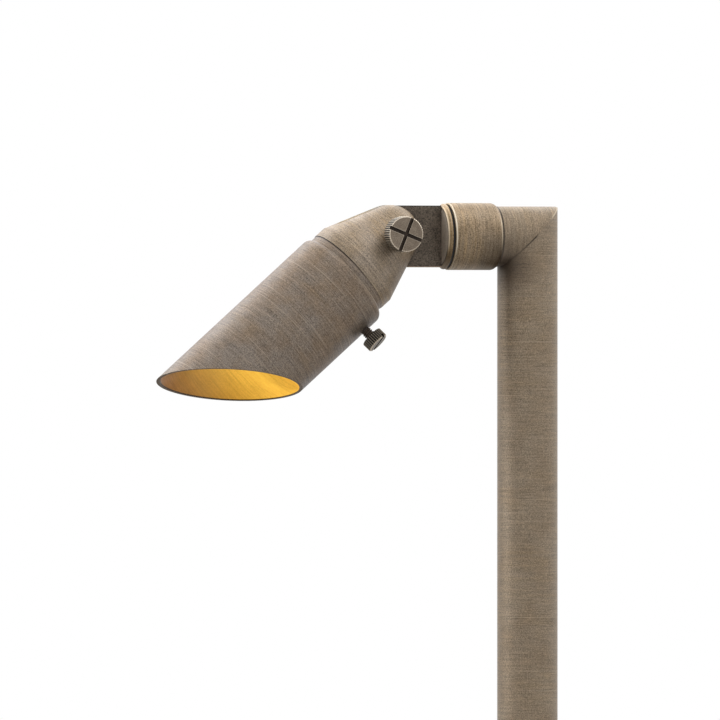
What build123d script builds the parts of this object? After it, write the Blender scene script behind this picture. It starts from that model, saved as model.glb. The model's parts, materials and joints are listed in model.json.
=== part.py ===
from build123d import *

import os
from math import acos, cos, degrees, pi, radians, sin, tan

os.makedirs("parts", exist_ok=True)

# Accent spotlight on an elbow stem, in millimetres and degrees. The origin is the centre of the
# foot's shoulder, +Z is up, the arm and the head reach towards -X, and the front faces -Y.

# Fits
braze_fit = 0.05  # radial room where one fixed piece sits in another
running_fit = 0.08  # radial room round a shank that turns
seat_gap = 0.05  # room between flat faces that slide on each other
slide_fit = 1.0  # radial room between the shroud and the neck that it slides on

# Stem, arm and foot
arm_height = 441.0  # foot to the centre line of the arm
pipe_diameter = 32.3
pipe_wall = 1.6
arm_reach = 32.0  # centre line of the stem to the open end of the arm
elbow_round = 2.0  # radius of the elbow's ground outer corner
elbow_round_proud = 0.1  # that rounding's circle beyond the pipes, which it meets at a slight angle
foot_flange = 4.0
foot_spigot = 12.0
stud_diameter = 20.9
stud_length = 16.0
stud_wall = 5.0
foot_grommet_lip = 2.4
foot_grommet_flange = 2.0
foot_grommet_depth = 9.0
lead_diameter = 6.0
lead_bend = 30.0  # radius of the lead's centre line in the elbow

# Sleeve on the end of the arm
sleeve_wall = 1.75
sleeve_overlap = 13.45  # length of the sleeve over the arm
sleeve_web = 13.2  # solid end that takes the nipple
sleeve_round = 3.6  # radius of the rounded shoulder behind
sleeve_land = 0.1  # what that shoulder leaves of the wall
sleeve_edge = 0.4

# Knuckle tongue that swivels in the sleeve
gasket_thickness = 1.5
gasket_inset = 1.4  # how far the gasket's edge lies below the rims
disc_thickness = 2.3
disc_inset = 0.4  # disc's rim below the sleeve's
disc_chamfer = 1.8  # length of the rim's chamfer
disc_chamfer_height = 1.6
nipple_diameter = 20.9
nipple_wall = 3.0
nipple_length = 12.7
plate_length = 28.5  # face of the disc to the tilt pivot
plate_height = 32.9
plate_thickness = 6.4
plate_edge = 0.5
plate_corner = 1.8  # rounding below the nose
pivot_rise = 0.9  # tilt pivot above the centre line of the arm
wire_hole = 3.4
wire_diameter = 1.6
wire_gap = 0.08  # between the two wires
wire_hole_inset = 0.4  # hole in the tongue inside the nipple's bore

# Knuckle end of the head
head_tilt = 41.65  # dip of the head below the arm
ball_radius = 16.25
cone_angle = 19.8  # half angle of the cone behind the neck
floor_gap = 0.6  # room between the tongue and the floor of the slot
floor_thickness = 3.7
washer_diameter = 15.0
washer_thickness = 0.5
tilt_shank = 6.0
tilt_shank_recess = 3.0  # end of the shank below the far cheek
spot_depth = 1.3  # spot face below the top of the ball
spot_rim = 0.6  # spot face beyond the shoulder of the screw
lock_washer_thickness = 1.6
lock_washer_ring = 2.3
lock_washer_split = 0.9
tilt_shoulder = 11.5
tilt_shoulder_length = 5.4
tilt_knob = 19.0
tilt_knob_length = 10.2
tilt_knob_teeth = 48
tilt_knurl = 0.35  # depth of the teeth
tilt_knob_edge = 0.5
tilt_slot_width = 2.0
tilt_slot_depth = 1.6
tilt_slot_turn = -22.0  # turn of the crossed slots from the arm's direction

# Housing and lamp barrel
neck_step = 0.3  # neck below the surface of the housing
rear_band = 6.4  # plain band from the cone to the seam
seam_chamfer = 0.25
front_band = 3.8  # neck that shows between the seam and the shroud
housing_wall = 2.5
spigot_length = 6.0
spigot_room = 0.4
spigot_wall = 2.0
neck_length = 20.0  # neck inside the shroud
neck_chamfer = 0.8
ring_place = 5.5  # centre of the neck seal from the shroud's rear edge
ring_section = 1.8
ring_room = 0.05  # between the neck seal and the near side of the shroud
grommet_diameter = 6.0
grommet_lip = 1.4
grommet_flange = 1.2
grommet_wall = 1.05

# Lamp socket
boss_height = 5.0
boss_diameter = 6.4
socket_length = 10.0
socket_width = 12.0
socket_span = 24.5
socket_screw_span = 17.0
socket_screw = 3.0
socket_screw_head = 5.5
socket_screw_head_length = 2.4
socket_screw_sink = 4.5
socket_screw_bite = 4.0
pin_span = 5.33
pin_diameter = 1.45
pin_length = 6.0
wire_entry = 2.0
wire_turn = 1.6  # straight stretch of each wire behind the socket
wire_bend = 2.2

# Lamp
lamp_gap = 0.3  # between the socket and the lamp's base
lamp_room = 0.7  # between the lamp's rim and the near side of the shroud
lamp_base_length = 11.0
lamp_base_width = 11.0
lamp_base_span = 18.0
lamp_base_round = 2.0
lamp_neck_diameter = 10.8
lamp_neck_length = 5.0
lamp_diameter = 50.0
lamp_rim_length = 3.4
lamp_bowl_length = 28.0
lamp_bowl_bulge = 4.6
lamp_wall = 1.5
lamp_root = 20.0  # outer diameter where the bowl meets its base
lamp_glass = 1.6
capsule_diameter = 9.0
capsule_length = 13.0

# Shroud and lens
shroud_wall = 1.8
shroud_set = 0.9  # shroud's axis off the neck's, towards the thumbscrew that draws it over
shroud_roll = 23.9  # turn of the cut-back side from straight below, towards the front
shoulder_round = 3.7
rear_edge = 0.2  # what the rounded shoulder leaves of the wall
lens_room = 2.5  # lamp to the lens ring
lens_ring_thickness = 1.2
lens_ring_bite = 0.8  # depth of the ring's groove
lens_ring_width = 2.6
lens_ring_gap = 9.0
lens_thickness = 3.0
lens_edge = 0.4
lens_fit = 0.2  # radial room round the lens
lens_gasket = 1.2
lip_thickness = 2.2
lip_width = 2.8
shade_wall = 1.3
shade_length = 29.8  # lip to the centre of the mouth
mouth_angle = 46.8  # between the mouth and the shroud's axis

# Thumbscrew of the shroud
clamp_place = 12.3  # from the shroud's rear edge
clamp_shank = 4.8
clamp_tip_gap = 0.3  # tip of the screw above the neck
clamp_stand = 5.0  # shroud to the back of the knob
clamp_knob = 12.3
clamp_knob_length = 5.4
clamp_knob_teeth = 30
clamp_knurl = 0.5  # depth of the teeth
clamp_knob_edge = 0.2  # behind
clamp_knob_lip = 0.6  # bevel round the face
clamp_slot_width = 2.0
clamp_slot_depth = 1.8
clamp_slot_turn = 48.0  # turn of the slot from the shroud's axis

# Radii and places along the arm
pipe_radius = pipe_diameter / 2
pipe_bore = pipe_radius - pipe_wall
stud_radius = stud_diameter / 2
stud_bore = stud_radius - stud_wall
lead_radius = lead_diameter / 2
sleeve_radius = pipe_radius + sleeve_wall
sleeve_back = arm_reach - sleeve_overlap
sleeve_front = arm_reach + sleeve_web
nipple_radius = nipple_diameter / 2
nipple_bore = nipple_radius - nipple_wall
disc_back = sleeve_front + seat_gap + gasket_thickness
disc_face = disc_back + disc_thickness
disc_radius = sleeve_radius - disc_inset
nipple_end = disc_back - nipple_length
pivot_reach = disc_face + plate_length
nose_radius = plate_height / 2 - pivot_rise
plate_drop = plate_height / 2 + pivot_rise
wire_radius = wire_diameter / 2
wire_pitch = wire_radius + wire_gap / 2
wire_hole_drop = nipple_bore - wire_hole / 2 - wire_hole_inset

# Places across the knuckle, from the tilt pivot towards the front
slot_half = plate_thickness / 2 + washer_thickness + 2 * seat_gap
shank_radius = tilt_shank / 2
spot_face = ball_radius - spot_depth
shoulder_face = spot_face + lock_washer_thickness
knob_back = shoulder_face + tilt_shoulder_length
knob_face = knob_back + tilt_knob_length
shank_end = spot_face - tilt_shank_recess

# Radii and places along the head, from the tilt pivot towards the mouth. The lamp sets its bore.
lamp_radius = lamp_diameter / 2
shroud_bore = lamp_radius + lamp_room + shroud_set
shroud_radius = shroud_bore + shroud_wall
neck_radius = shroud_bore - slide_fit
housing_radius = neck_radius + neck_step
housing_diameter = 2 * housing_radius
cone_root = ball_radius / cos(radians(cone_angle))
cone_end = (housing_radius - cone_root) / tan(radians(cone_angle))
seam = cone_end + rear_band
shroud_rear = seam + front_band
spigot_radius = housing_radius - housing_wall
spigot_rear = seam - spigot_length
barrel_bore = spigot_radius - spigot_wall
barrel_front = shroud_rear + neck_length
ring_centre = shroud_rear + ring_place
slot_floor = plate_drop + floor_gap
cavity_floor = slot_floor + floor_thickness
socket_rear = cavity_floor + boss_height
socket_front = socket_rear + socket_length
lamp_rear = socket_front + lamp_gap
bowl_rear = lamp_rear + lamp_base_length
rim_rear = bowl_rear + lamp_bowl_length
lamp_front = rim_rear + lamp_rim_length
lens_ring_rear = lamp_front + lens_room
lens_rear = lens_ring_rear + lens_ring_thickness + seat_gap
lens_front = lens_rear + lens_thickness
lip_rear = lens_front + lens_gasket
lip_front = lip_rear + lip_thickness
mouth_place = lip_front + shade_length
ring_radius = shroud_bore - shroud_set - ring_room
shade_bore = shroud_radius - shade_wall
lip_bore = shroud_bore - lip_width
lens_radius = shroud_bore - lens_fit
clamp_tip = neck_radius - shroud_set + clamp_tip_gap
clamp_knob_back = shroud_radius + clamp_stand
clamp_knob_face = clamp_knob_back + clamp_knob_length

# Frames of the assembly. Each plane's own z runs along the axis of the pieces built on it.
foot = Plane.XY
arm = Plane(origin=(0, 0, arm_height), x_dir=(0, 0, 1), z_dir=(-1, 0, 0))
mitre = Plane(origin=(0, 0, arm_height), x_dir=(0, 1, 0), z_dir=(-1, 0, 1))
pivot = Plane(origin=(-pivot_reach, 0, arm_height + pivot_rise), x_dir=(1, 0, 0), z_dir=(0, -1, 0))
tilt_sine = sin(radians(head_tilt))
tilt_cosine = cos(radians(head_tilt))
head = Plane(
    origin=pivot.origin,
    x_dir=(tilt_sine, 0, -tilt_cosine),
    z_dir=(-tilt_cosine, 0, -tilt_sine),
)
roll_sine = sin(radians(shroud_roll))
roll_cosine = cos(radians(shroud_roll))
roll_direction = head.x_dir * roll_cosine + head.y_dir * roll_sine
hood = Plane(origin=head.origin + roll_direction * shroud_set, x_dir=roll_direction, z_dir=head.z_dir)
clamp = Plane(
    origin=hood.offset(shroud_rear + clamp_place).origin,
    x_dir=hood.z_dir,
    z_dir=hood.x_dir,
)
mouth = Plane(
    origin=hood.offset(mouth_place).origin,
    z_dir=hood.x_dir / tan(radians(mouth_angle)) + hood.z_dir,
)


def section(plane):
    # Drawing plane of a turned profile: x is the radius and y the place along the axis.
    return Plane(origin=plane.origin, x_dir=plane.x_dir, z_dir=-plane.y_dir)


def axis_of(plane):
    return Axis(plane.origin, plane.z_dir)


def turn(plane, *outline, mode=Mode.ADD):
    # Turn a closed outline of (radius, place) corners about the plane's axis.
    with BuildSketch(section(plane)) as profile:
        with BuildLine():
            Polyline(*outline, close=True)
        make_face()
    revolve(profile.sketch, axis=axis_of(plane), mode=mode)


def ring(plane, inner, outer, start, end, mode=Mode.ADD):
    turn(plane, (inner, start), (outer, start), (outer, end), (inner, end), mode=mode)


def shoulder_arc(radius, rounding, drop, start):
    # Rounded rear shoulder of a turned outline, from the drop at the start up to the full radius.
    sweep = degrees(acos(1 - drop / rounding))
    centre = (radius - rounding, start + rounding * sin(radians(sweep)))
    return CenterArc(centre, rounding, -sweep, sweep)


def knurled_knob(plane, radius, start, end, teeth, depth, back_bevel, face_bevel):
    # Straight knurl of pointed teeth, bevelled at both ends by a turned blank.
    crests = 2 * teeth
    corners = []
    for crest in range(crests):
        reach = radius - depth * (crest % 2)
        angle = 2 * pi * crest / crests
        corners.append((reach * cos(angle), reach * sin(angle)))
    with BuildSketch(plane.offset(start)) as teeth_outline:
        with BuildLine():
            Polyline(*corners, close=True)
        make_face()
    extrude(teeth_outline.sketch, amount=end - start)
    turn(
        plane,
        (0, start),
        (radius - back_bevel, start),
        (radius, start + back_bevel),
        (radius, end - face_bevel),
        (radius - face_bevel, end),
        (0, end),
        mode=Mode.INTERSECT,
    )


def round_elbow():
    # Take the sharp outer corner off the mitre, along the line where both pipes end.
    corner = pipe_radius + elbow_round_proud - elbow_round
    with BuildSketch(Plane.XZ) as sharp_corner:
        with Locations((corner, arm_height + corner)):
            Rectangle(2 * elbow_round, 2 * elbow_round, align=(Align.MIN, Align.MIN))
            Circle(elbow_round, mode=Mode.SUBTRACT)
    extrude(sharp_corner.sketch, amount=pipe_radius, both=True, mode=Mode.SUBTRACT)


# Stem: a straight pipe that stands on the foot and ends in a mitre
with BuildPart() as stem_tube:
    with BuildSketch(foot.offset(foot_flange)):
        Circle(pipe_radius)
        Circle(pipe_bore, mode=Mode.SUBTRACT)
    extrude(amount=arm_height + pipe_diameter)
    split(bisect_by=mitre, keep=Keep.BOTTOM)
    round_elbow()
stem_tube.part.label = "stem_tube"
export_step(stem_tube.part, "parts/stem_tube.step")

# Arm: a short pipe with the other half of the mitre
with BuildPart() as arm_tube:
    with BuildSketch(arm.offset(arm_reach)):
        Circle(pipe_radius)
        Circle(pipe_bore, mode=Mode.SUBTRACT)
    extrude(amount=-(arm_reach + pipe_diameter))
    split(bisect_by=mitre, keep=Keep.TOP)
    round_elbow()
arm_tube.part.label = "arm_tube"
export_step(arm_tube.part, "parts/arm_tube.step")

# Sleeve: slips over the arm, and its solid end is tapped for the nipple
with BuildPart() as arm_sleeve:
    sleeve_drop = sleeve_wall - braze_fit - sleeve_land
    with BuildSketch(section(arm)):
        with BuildLine():
            rear_round = shoulder_arc(sleeve_radius, sleeve_round, sleeve_drop, sleeve_back)
            Polyline(
                rear_round @ 1,
                (sleeve_radius, sleeve_front - sleeve_edge),
                (sleeve_radius - sleeve_edge, sleeve_front),
                (nipple_radius + running_fit, sleeve_front),
                (nipple_radius + running_fit, arm_reach),
                (pipe_radius + braze_fit, arm_reach),
                (pipe_radius + braze_fit, sleeve_back),
                rear_round @ 0,
            )
        make_face()
    revolve(axis=axis_of(arm))
arm_sleeve.part.label = "arm_sleeve"
export_step(arm_sleeve.part, "parts/arm_sleeve.step")

# Foot plug: closes the stem and carries the threaded stud below its shoulder
with BuildPart() as foot_plug:
    turn(
        foot,
        (stud_bore, -stud_length),
        (stud_radius, -stud_length),
        (stud_radius, 0),
        (pipe_radius, 0),
        (pipe_radius, foot_flange),
        (pipe_bore - braze_fit, foot_flange),
        (pipe_bore - braze_fit, foot_flange + foot_spigot),
        (stud_bore, foot_flange + foot_spigot),
    )
foot_plug.part.label = "foot_plug"
export_step(foot_plug.part, "parts/foot_plug.step")

# Foot grommet: a rubber bush in the plug's bore, round the lead
grommet_seat = foot_flange + foot_spigot
with BuildPart() as foot_grommet:
    turn(
        foot,
        (lead_radius + braze_fit, grommet_seat - foot_grommet_depth),
        (stud_bore - braze_fit, grommet_seat - foot_grommet_depth),
        (stud_bore - braze_fit, grommet_seat),
        (stud_bore + foot_grommet_lip, grommet_seat),
        (stud_bore + foot_grommet_lip, grommet_seat + foot_grommet_flange),
        (lead_radius + braze_fit, grommet_seat + foot_grommet_flange),
    )
foot_grommet.part.label = "foot_grommet"
export_step(foot_grommet.part, "parts/foot_grommet.step")

# Lead inside the stem: up from the stud, round the elbow and to the nipple
with BuildPart() as stem_lead:
    with BuildLine(Plane.XZ) as lead_path:
        FilletPolyline(
            (0, -stud_length),
            (0, arm_height),
            (-arm_reach - sleeve_web / 2, arm_height),
            radius=lead_bend,
        )
    with BuildSketch(foot.offset(-stud_length)):
        Circle(lead_radius)
    sweep(path=lead_path.line)
stem_lead.part.label = "stem_lead"
export_step(stem_lead.part, "parts/stem_lead.step")

# Tongue: threaded nipple, chamfered disc and the flat plate that the head tilts on
with BuildPart() as knuckle_tongue:
    with BuildSketch(pivot):
        with Locations((0, -plate_drop)):
            Rectangle(plate_length, plate_height, align=(Align.MIN, Align.MIN))
        fillet(vertices().group_by(Axis.Y)[0].sort_by(Axis.X)[0], radius=plate_corner)
        Circle(nose_radius)
    extrude(amount=plate_thickness / 2, both=True)
    plate_rims = edges().filter_by(Axis.Y, reverse=True).sort_by(Axis.X)[:-2]
    chamfer(plate_rims, length=plate_edge)
    turn(
        arm,
        (0, nipple_end),
        (nipple_radius, nipple_end),
        (nipple_radius, disc_back),
        (disc_radius, disc_back),
        (disc_radius, disc_face - disc_chamfer),
        (disc_radius - disc_chamfer_height, disc_face),
        (0, disc_face),
    )
    ring(arm, 0, nipple_bore, nipple_end, disc_back, mode=Mode.SUBTRACT)
    with BuildSketch(pivot):
        Circle(shank_radius + running_fit)
    extrude(amount=plate_thickness, both=True, mode=Mode.SUBTRACT)
    with BuildSketch(arm.offset(disc_back)):
        with Locations((-wire_hole_drop, 0)):
            Circle(wire_hole / 2)
    extrude(amount=pivot_reach, mode=Mode.SUBTRACT)
knuckle_tongue.part.label = "knuckle_tongue"
export_step(knuckle_tongue.part, "parts/knuckle_tongue.step")

# Swivel gasket: a flat ring between the disc and the sleeve
with BuildPart() as swivel_gasket:
    gasket_radius = sleeve_radius - gasket_inset
    ring(arm, nipple_radius + braze_fit, gasket_radius, disc_back - gasket_thickness, disc_back)
swivel_gasket.part.label = "swivel_gasket"
export_step(swivel_gasket.part, "parts/swivel_gasket.step")

# Wires in the tongue: a pair, one above the other in the drilled hole
with BuildPart() as tongue_wires:
    with BuildSketch(arm.offset(nipple_end)):
        with GridLocations(2 * wire_pitch, 0, 2, 1):
            with Locations((-wire_hole_drop, 0)):
                Circle(wire_radius)
    extrude(amount=pivot_reach - nipple_end)
tongue_wires.part.label = "tongue_wires"
export_step(tongue_wires.part, "parts/tongue_wires.step")

# Head housing: slotted ball end, cone and plain band, hollow for the lamp socket
with BuildPart() as head_housing:
    with BuildSketch(section(head)):
        with BuildLine():
            ball = CenterArc((0, 0), ball_radius, -90, 90 - cone_angle)
            Polyline(
                ball @ 1,
                (housing_radius, cone_end),
                (housing_radius, seam - seam_chamfer),
                (housing_radius - seam_chamfer, seam),
                (spigot_radius + braze_fit, seam),
                (spigot_radius + braze_fit, spigot_rear - spigot_room),
                (barrel_bore, spigot_rear - spigot_room),
                (barrel_bore, cavity_floor),
                (0, cavity_floor),
                ball @ 0,
            )
        make_face()
    revolve(axis=axis_of(head))
    # Bosses that the lamp socket is screwed to
    with BuildSketch(head.offset(cavity_floor)):
        with GridLocations(0, socket_screw_span, 1, 2):
            Circle(boss_diameter / 2)
    extrude(amount=boss_height)
    with BuildSketch(head.offset(socket_rear)):
        with GridLocations(0, socket_screw_span, 1, 2):
            Circle(socket_screw / 2 + braze_fit)
    extrude(amount=-socket_screw_bite - braze_fit, mode=Mode.SUBTRACT)
    # Slot for the tongue, cut right across the ball end
    with BuildSketch(section(head)):
        with Locations((0, slot_floor)):
            Rectangle(2 * housing_diameter, 2 * housing_diameter, align=(Align.CENTER, Align.MAX))
    extrude(amount=slot_half, both=True, mode=Mode.SUBTRACT)
    # Spot face and hole for the tilt screw, and the wire hole in the slot's floor
    with BuildSketch(pivot.offset(spot_face)):
        Circle(tilt_shoulder / 2 + spot_rim)
    extrude(amount=ball_radius, mode=Mode.SUBTRACT)
    with BuildSketch(pivot):
        Circle(shank_radius + running_fit)
    extrude(amount=housing_diameter, both=True, mode=Mode.SUBTRACT)
    ring(head, 0, grommet_diameter / 2 + braze_fit, slot_floor, cavity_floor, mode=Mode.SUBTRACT)
head_housing.part.label = "head_housing"
export_step(head_housing.part, "parts/head_housing.step")

# Friction washers: one on each side of the tongue
with BuildPart() as tilt_washers:
    for side in (-1, 1):
        washer_start = side * (plate_thickness / 2 + seat_gap)
        washer_end = washer_start + side * washer_thickness
        ring(pivot, shank_radius + running_fit, washer_diameter / 2, washer_start, washer_end)
tilt_washers.part.label = "tilt_washers"
export_step(tilt_washers.part, "parts/tilt_washers.step")

# Lock washer: a split ring under the tilt screw
with BuildPart() as tilt_lock_washer:
    lock_washer_radius = shank_radius + lock_washer_ring
    ring(pivot, shank_radius + running_fit, lock_washer_radius, spot_face, shoulder_face)
    with BuildSketch(pivot.offset(spot_face)):
        Rectangle(lock_washer_split, lock_washer_radius, align=(Align.CENTER, Align.MIN))
    extrude(amount=lock_washer_thickness, mode=Mode.SUBTRACT)
tilt_lock_washer.part.label = "tilt_lock_washer"
export_step(tilt_lock_washer.part, "parts/tilt_lock_washer.step")

# Tilt screw: knurled knob with crossed slots, plain shoulder and a long shank
with BuildPart() as tilt_thumbscrew:
    knurled_knob(
        pivot,
        tilt_knob / 2,
        knob_back,
        knob_face,
        teeth=tilt_knob_teeth,
        depth=tilt_knurl,
        back_bevel=tilt_knob_edge,
        face_bevel=tilt_knob_edge,
    )
    ring(pivot, 0, tilt_shoulder / 2, shoulder_face, knob_back)
    ring(pivot, 0, shank_radius, -shank_end, shoulder_face)
    with BuildSketch(pivot.offset(knob_face)):
        with PolarLocations(0, 2, start_angle=tilt_slot_turn, angular_range=180):
            Rectangle(2 * tilt_knob, tilt_slot_width)
    extrude(amount=-tilt_slot_depth, mode=Mode.SUBTRACT)
tilt_thumbscrew.part.label = "tilt_thumbscrew"
export_step(tilt_thumbscrew.part, "parts/tilt_thumbscrew.step")

# Lamp barrel: screws into the housing, and its neck carries the seal and the shroud
with BuildPart() as lamp_barrel:
    groove_half = ring_section / 2 + braze_fit
    groove_floor = ring_radius - ring_section - braze_fit
    turn(
        head,
        (barrel_bore, spigot_rear),
        (spigot_radius, spigot_rear),
        (spigot_radius, seam),
        (neck_radius, seam),
        (neck_radius, ring_centre - groove_half),
        (groove_floor, ring_centre - groove_half),
        (groove_floor, ring_centre + groove_half),
        (neck_radius, ring_centre + groove_half),
        (neck_radius, barrel_front - neck_chamfer),
        (neck_radius - neck_chamfer, barrel_front),
        (barrel_bore, barrel_front),
    )
lamp_barrel.part.label = "lamp_barrel"
export_step(lamp_barrel.part, "parts/lamp_barrel.step")

# Neck seal: a round ring in the barrel's groove
with BuildPart() as neck_seal:
    with BuildSketch(section(head)):
        with Locations((ring_radius - ring_section / 2, ring_centre)):
            Circle(ring_section / 2)
    revolve(axis=axis_of(head))
neck_seal.part.label = "neck_seal"
export_step(neck_seal.part, "parts/neck_seal.step")

# Wire grommet: a small bush in the floor of the slot
with BuildPart() as wire_grommet:
    grommet_radius = grommet_diameter / 2
    grommet_bore = grommet_radius - grommet_wall
    turn(
        head,
        (grommet_bore, slot_floor),
        (grommet_radius, slot_floor),
        (grommet_radius, cavity_floor),
        (grommet_radius + grommet_lip, cavity_floor),
        (grommet_radius + grommet_lip, cavity_floor + grommet_flange),
        (grommet_bore, cavity_floor + grommet_flange),
    )
wire_grommet.part.label = "wire_grommet"
export_step(wire_grommet.part, "parts/wire_grommet.step")

# Lamp socket: an oblong ceramic block with two screw holes and two pin holes
with BuildPart() as lamp_socket:
    with BuildSketch(head.offset(socket_rear)):
        SlotOverall(socket_span, socket_width, rotation=90)
        with GridLocations(0, socket_screw_span, 1, 2):
            Circle(socket_screw / 2 + braze_fit, mode=Mode.SUBTRACT)
        with GridLocations(0, pin_span, 1, 2):
            Circle(wire_radius + braze_fit, mode=Mode.SUBTRACT)
    extrude(amount=wire_entry)
    with BuildSketch(head.offset(socket_rear + wire_entry)):
        SlotOverall(socket_span, socket_width, rotation=90)
        with GridLocations(0, socket_screw_span, 1, 2):
            Circle(socket_screw / 2 + braze_fit, mode=Mode.SUBTRACT)
        with GridLocations(0, pin_span, 1, 2):
            Circle(pin_diameter / 2 + braze_fit, mode=Mode.SUBTRACT)
    extrude(amount=socket_length - wire_entry)
    with BuildSketch(head.offset(socket_front)):
        with GridLocations(0, socket_screw_span, 1, 2):
            Circle(socket_screw_head / 2 + braze_fit)
    extrude(amount=-socket_screw_sink, mode=Mode.SUBTRACT)
lamp_socket.part.label = "lamp_socket"
export_step(lamp_socket.part, "parts/lamp_socket.step")

# Socket screws: a pair of pan heads in the socket's counterbores
with BuildPart() as socket_screws:
    screw_seat = socket_front - socket_screw_sink
    with BuildSketch(head.offset(screw_seat)):
        with GridLocations(0, socket_screw_span, 1, 2):
            Circle(socket_screw_head / 2)
    extrude(amount=socket_screw_head_length)
    with BuildSketch(head.offset(screw_seat)):
        with GridLocations(0, socket_screw_span, 1, 2):
            Circle(socket_screw / 2)
    extrude(amount=socket_rear - socket_screw_bite - screw_seat)
socket_screws.part.label = "socket_screws"
export_step(socket_screws.part, "parts/socket_screws.step")

# Socket wires: from the back of the socket together into the grommet
with BuildPart() as socket_wires:
    for side in (-1, 1):
        with BuildLine(Plane(origin=head.origin, x_dir=head.y_dir, z_dir=head.x_dir)) as wire_path:
            FilletPolyline(
                (side * pin_span / 2, socket_rear + wire_entry),
                (side * pin_span / 2, socket_rear - wire_turn),
                (side * wire_pitch, cavity_floor + grommet_flange),
                (side * wire_pitch, slot_floor),
                radius=wire_bend,
            )
        with BuildSketch(Plane(origin=wire_path.line @ 0, z_dir=wire_path.line % 0)):
            Circle(wire_radius)
        sweep(path=wire_path.line)
socket_wires.part.label = "socket_wires"
export_step(socket_wires.part, "parts/socket_wires.step")

# Lamp base: a ceramic block with a round neck inside the bowl
with BuildPart() as lamp_base:
    with BuildSketch(head.offset(lamp_rear)):
        RectangleRounded(lamp_base_width, lamp_base_span, lamp_base_round)
    extrude(amount=lamp_base_length)
    ring(head, 0, lamp_neck_diameter / 2, bowl_rear, bowl_rear + lamp_neck_length)
lamp_base.part.label = "lamp_base"
export_step(lamp_base.part, "parts/lamp_base.step")

# Lamp pins: a pair, in the socket's pin holes
with BuildPart() as lamp_pins:
    with BuildSketch(head.offset(lamp_rear)):
        with GridLocations(0, pin_span, 1, 2):
            Circle(pin_diameter / 2)
    extrude(amount=-pin_length)
lamp_pins.part.label = "lamp_pins"
export_step(lamp_pins.part, "parts/lamp_pins.step")

# Lamp reflector: a glass bowl with a plain rim that the front glass is let into
with BuildPart() as lamp_reflector:
    with BuildSketch(section(head)):
        with BuildLine():
            root = lamp_root / 2
            outer_end = (lamp_radius - lamp_wall, rim_rear)
            glass_radius = lamp_radius - lamp_wall
            inner_radius = glass_radius - lamp_wall
            neck_hole = lamp_neck_diameter / 2 + braze_fit
            bowl = SagittaArc((root, bowl_rear), outer_end, -lamp_bowl_bulge)
            Polyline(
                outer_end,
                (lamp_radius, rim_rear),
                (lamp_radius, lamp_front),
                (glass_radius, lamp_front),
                (glass_radius, lamp_front - lamp_glass),
                (inner_radius, lamp_front - lamp_glass),
                (inner_radius, rim_rear),
            )
            SagittaArc((inner_radius, rim_rear), (root, bowl_rear + lamp_wall), lamp_bowl_bulge)
            Polyline(
                (root, bowl_rear + lamp_wall),
                (neck_hole, bowl_rear + lamp_wall),
                (neck_hole, bowl_rear),
                (root, bowl_rear),
            )
        make_face()
    revolve(axis=axis_of(head))
lamp_reflector.part.label = "lamp_reflector"
export_step(lamp_reflector.part, "parts/lamp_reflector.step")

# Lamp capsule: a round-ended glass tube on the lamp's neck
with BuildPart() as lamp_capsule:
    capsule_radius = capsule_diameter / 2
    capsule_rear = bowl_rear + lamp_neck_length
    dome = capsule_rear + capsule_length - capsule_radius
    with BuildSketch(section(head)):
        with BuildLine():
            crown = CenterArc((0, dome), capsule_radius, 0, 90)
            Polyline(crown @ 1, (0, capsule_rear), (capsule_radius, capsule_rear), crown @ 0)
        make_face()
    revolve(axis=axis_of(head))
lamp_capsule.part.label = "lamp_capsule"
export_step(lamp_capsule.part, "parts/lamp_capsule.step")

# Lamp front glass: let into the rim of the bowl
with BuildPart() as lamp_front_glass:
    ring(head, 0, lamp_radius - lamp_wall - braze_fit, lamp_front - lamp_glass, lamp_front)
lamp_front_glass.part.label = "lamp_front_glass"
export_step(lamp_front_glass.part, "parts/lamp_front_glass.step")

# Shroud: a tube with a rounded rear shoulder, an inner lip and a slanted mouth
with BuildPart() as shroud:
    shroud_end = mouth_place + 2 * shroud_radius
    groove_radius = shroud_bore + lens_ring_bite
    with BuildSketch(section(hood)):
        with BuildLine():
            shoulder = shoulder_arc(shroud_radius, shoulder_round, shroud_wall - rear_edge, shroud_rear)
            Polyline(
                shoulder @ 1,
                (shroud_radius, shroud_end),
                (shade_bore, shroud_end),
                (shade_bore, lip_front),
                (lip_bore, lip_front),
                (lip_bore, lip_rear),
                (shroud_bore, lip_rear),
                (shroud_bore, lens_ring_rear + lens_ring_thickness),
                (groove_radius, lens_ring_rear + lens_ring_thickness),
                (groove_radius, lens_ring_rear),
                (shroud_bore, lens_ring_rear),
                (shroud_bore, shroud_rear),
                shoulder @ 0,
            )
        make_face()
    revolve(axis=axis_of(hood))
    split(bisect_by=mouth, keep=Keep.BOTTOM)
    with BuildSketch(clamp):
        Circle(clamp_shank / 2 + running_fit)
    extrude(amount=clamp_knob_back, mode=Mode.SUBTRACT)
shroud.part.label = "shroud"
export_step(shroud.part, "parts/shroud.step")

# Lens: a glass disc with eased edges
with BuildPart() as lens:
    turn(
        hood,
        (0, lens_rear),
        (lens_radius - lens_edge, lens_rear),
        (lens_radius, lens_rear + lens_edge),
        (lens_radius, lens_front - lens_edge),
        (lens_radius - lens_edge, lens_front),
        (0, lens_front),
    )
lens.part.label = "lens"
export_step(lens.part, "parts/lens.step")

# Lens gasket: a flat ring between the lens and the lip
with BuildPart() as lens_seal:
    ring(hood, lip_bore, lens_radius, lens_front, lip_rear)
lens_seal.part.label = "lens_seal"
export_step(lens_seal.part, "parts/lens_seal.step")

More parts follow.
